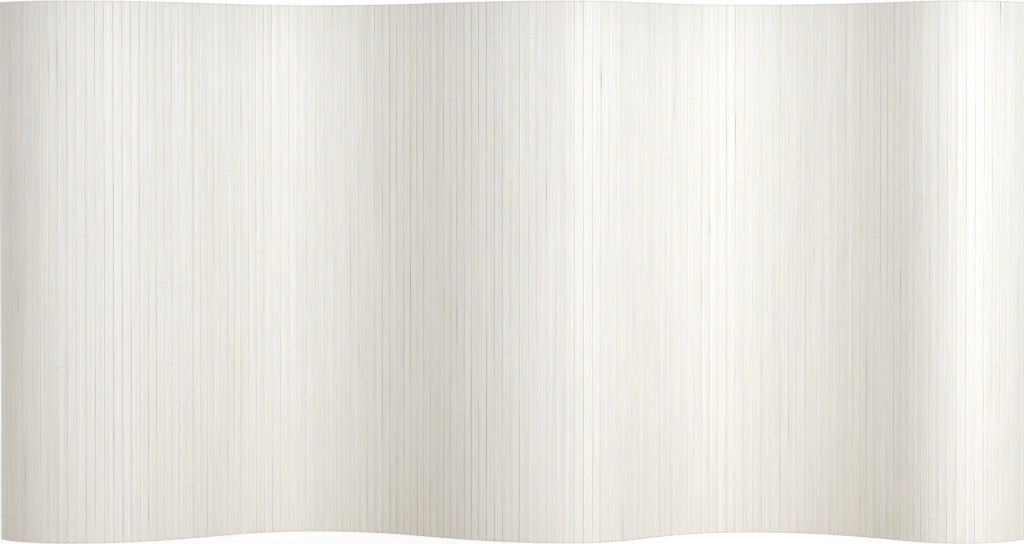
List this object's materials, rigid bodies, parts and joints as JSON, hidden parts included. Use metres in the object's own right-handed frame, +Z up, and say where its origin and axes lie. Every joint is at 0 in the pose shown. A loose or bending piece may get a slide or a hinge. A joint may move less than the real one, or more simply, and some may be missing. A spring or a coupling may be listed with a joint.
{
  "type": "bamboo wave screen",
  "caption": "Free-standing folding screen of narrow white-washed bamboo slats threaded on hidden cords, set in a serpentine wave to stand and divide a room.",
  "frame": {"origin": "on the floor, under the middle of the standing screen's box", "axes": "+X along the screen to the right as seen from the front, +Y to the back, +Z up"},
  "size_m": [2.2916, 0.3116, 1.2],
  "materials": {
    "bamboo": "white-washed bamboo, satin, grain faintly showing",
    "cord": "undyed nylon cord",
    "crimp": "bare crimped sleeve"
  },
  "bodies": {
    "leaf_01": {"slats_01": "bamboo", "cords_01": "cord", "left_end_slat": "bamboo", "left_cord_stops": "crimp"},
    "leaf_02": {"slats_02": "bamboo", "cords_02": "cord"},
    "leaf_03": {"slats_03": "bamboo", "cords_03": "cord"},
    "leaf_04": {"slats_04": "bamboo", "cords_04": "cord"},
    "leaf_05": {"slats_05": "bamboo", "cords_05": "cord"},
    "leaf_06": {"slats_06": "bamboo", "cords_06": "cord"},
    "leaf_07": {"slats_07": "bamboo", "cords_07": "cord"},
    "leaf_08": {"slats_08": "bamboo", "cords_08": "cord"},
    "leaf_09": {"slats_09": "bamboo", "cords_09": "cord"},
    "leaf_10": {"slats_10": "bamboo", "cords_10": "cord"},
    "leaf_11": {"slats_11": "bamboo", "cords_11": "cord"},
    "leaf_12": {"slats_12": "bamboo", "cords_12": "cord"},
    "leaf_13": {"slats_13": "bamboo", "cords_13": "cord"},
    "leaf_14": {"slats_14": "bamboo", "cords_14": "cord"},
    "leaf_15": {"slats_15": "bamboo", "cords_15": "cord"},
    "leaf_16": {"slats_16": "bamboo", "cords_16": "cord"},
    "leaf_17": {"slats_17": "bamboo", "cords_17": "cord"},
    "leaf_18": {"slats_18": "bamboo", "cords_18": "cord"},
    "leaf_19": {"slats_19": "bamboo", "cords_19": "cord"},
    "leaf_20": {"slats_20": "bamboo", "cords_20": "cord"},
    "leaf_21": {"slats_21": "bamboo", "cords_21": "cord"},
    "leaf_22": {"slats_22": "bamboo", "cords_22": "cord"},
    "leaf_23": {"slats_23": "bamboo", "cords_23": "cord"},
    "leaf_24": {"slats_24": "bamboo", "cords_24": "cord"},
    "leaf_25": {"slats_25": "bamboo", "cords_25": "cord"},
    "leaf_26": {"slats_26": "bamboo", "cords_26": "cord"},
    "leaf_27": {"slats_27": "bamboo", "cords_27": "cord", "right_end_slat": "bamboo", "right_cord_stops": "crimp"}
  },
  "joints": [
    {"name": "seam_01", "type": "hinge", "parent": "leaf_02", "child": "leaf_01", "pos_m": [-1.08032, -0.11966, 0], "axis": [0, 0, -1], "range_deg": [-21.66, 8.34]},
    {"name": "seam_02", "type": "hinge", "parent": "leaf_03", "child": "leaf_02", "pos_m": [-0.9847, -0.15171, 0], "axis": [0, 0, -1], "range_deg": [-20.81, 9.19]},
    {"name": "seam_03", "type": "hinge", "parent": "leaf_04", "child": "leaf_03", "pos_m": [-0.88423, -0.13402, 0], "axis": [0, 0, -1], "range_deg": [-18.68, 11.32]},
    {"name": "seam_04", "type": "hinge", "parent": "leaf_05", "child": "leaf_04", "pos_m": [-0.79409, -0.0859, 0], "axis": [0, 0, -1], "range_deg": [-17.61, 12.39]},
    {"name": "seam_05", "type": "hinge", "parent": "leaf_06", "child": "leaf_05", "pos_m": [-0.71674, -0.01882, 0], "axis": [0, 0, -1], "range_deg": [-16.05, 13.95]},
    {"name": "seam_06", "type": "hinge", "parent": "leaf_07", "child": "leaf_06", "pos_m": [-0.64557, 0.05494, 0], "axis": [0, 0, 1], "range_deg": [-16.34, 13.66]},
    {"name": "seam_07", "type": "hinge", "parent": "leaf_08", "child": "leaf_07", "pos_m": [-0.56636, 0.11958, 0], "axis": [0, 0, 1], "range_deg": [-19.2, 10.8]},
    {"name": "seam_08", "type": "hinge", "parent": "leaf_09", "child": "leaf_08", "pos_m": [-0.47009, 0.15237, 0], "axis": [0, 0, 1], "range_deg": [-20.57, 9.43]},
    {"name": "seam_09", "type": "hinge", "parent": "leaf_10", "child": "leaf_09", "pos_m": [-0.3689, 0.14076, 0], "axis": [0, 0, 1], "range_deg": [-19.11, 10.89]},
    {"name": "seam_10", "type": "hinge", "parent": "leaf_11", "child": "leaf_10", "pos_m": [-0.27772, 0.09477, 0], "axis": [0, 0, 1], "range_deg": [-17.65, 12.35]},
    {"name": "seam_11", "type": "hinge", "parent": "leaf_12", "child": "leaf_11", "pos_m": [-0.19892, 0.02934, 0], "axis": [0, 0, 1], "range_deg": [-15.47, 14.53]},
    {"name": "seam_12", "type": "hinge", "parent": "leaf_13", "child": "leaf_12", "pos_m": [-0.12307, -0.03959, 0], "axis": [0, 0, -1], "range_deg": [-16.36, 13.64]},
    {"name": "seam_13", "type": "hinge", "parent": "leaf_14", "child": "leaf_13", "pos_m": [-0.03984, -0.09917, 0], "axis": [0, 0, -1], "range_deg": [-17.79, 12.21]},
    {"name": "seam_14", "type": "hinge", "parent": "leaf_14", "child": "leaf_15", "pos_m": [0.05496, -0.13724, 0], "axis": [0, 0, 1], "range_deg": [-18.67, 11.33]},
    {"name": "seam_15", "type": "hinge", "parent": "leaf_15", "child": "leaf_16", "pos_m": [0.15661, -0.14249, 0], "axis": [0, 0, 1], "range_deg": [-23.01, 6.99]},
    {"name": "seam_16", "type": "hinge", "parent": "leaf_16", "child": "leaf_17", "pos_m": [0.24411, -0.09175, 0], "axis": [0, 0, 1], "range_deg": [-19.3, 10.7]},
    {"name": "seam_17", "type": "hinge", "parent": "leaf_17", "child": "leaf_18", "pos_m": [0.30905, -0.01254, 0], "axis": [0, 0, -1], "range_deg": [-15.86, 14.14]},
    {"name": "seam_18", "type": "hinge", "parent": "leaf_18", "child": "leaf_19", "pos_m": [0.37827, 0.06284, 0], "axis": [0, 0, -1], "range_deg": [-18.46, 11.54]},
    {"name": "seam_19", "type": "hinge", "parent": "leaf_19", "child": "leaf_20", "pos_m": [0.46604, 0.11459, 0], "axis": [0, 0, -1], "range_deg": [-20.13, 9.87]},
    {"name": "seam_20", "type": "hinge", "parent": "leaf_20", "child": "leaf_21", "pos_m": [0.56721, 0.12473, 0], "axis": [0, 0, -1], "range_deg": [-18.96, 11.04]},
    {"name": "seam_21", "type": "hinge", "parent": "leaf_21", "child": "leaf_22", "pos_m": [0.66552, 0.09733, 0], "axis": [0, 0, -1], "range_deg": [-18.45, 11.55]},
    {"name": "seam_22", "type": "hinge", "parent": "leaf_22", "child": "leaf_23", "pos_m": [0.75163, 0.04224, 0], "axis": [0, 0, -1], "range_deg": [-17.39, 12.61]},
    {"name": "seam_23", "type": "hinge", "parent": "leaf_23", "child": "leaf_24", "pos_m": [0.82476, -0.02945, 0], "axis": [0, 0, -1], "range_deg": [-15.95, 14.05]},
    {"name": "seam_24", "type": "hinge", "parent": "leaf_24", "child": "leaf_25", "pos_m": [0.89243, -0.10643, 0], "axis": [0, 0, 1], "range_deg": [-19.21, 10.79]},
    {"name": "seam_25", "type": "hinge", "parent": "leaf_25", "child": "leaf_26", "pos_m": [0.9812, -0.15334, 0], "axis": [0, 0, 1], "range_deg": [-25.29, 4.71]},
    {"name": "seam_26", "type": "hinge", "parent": "leaf_26", "child": "leaf_27", "pos_m": [1.07814, -0.12626, 0], "axis": [0, 0, 1], "range_deg": [-21.97, 8.03]}
  ]
}
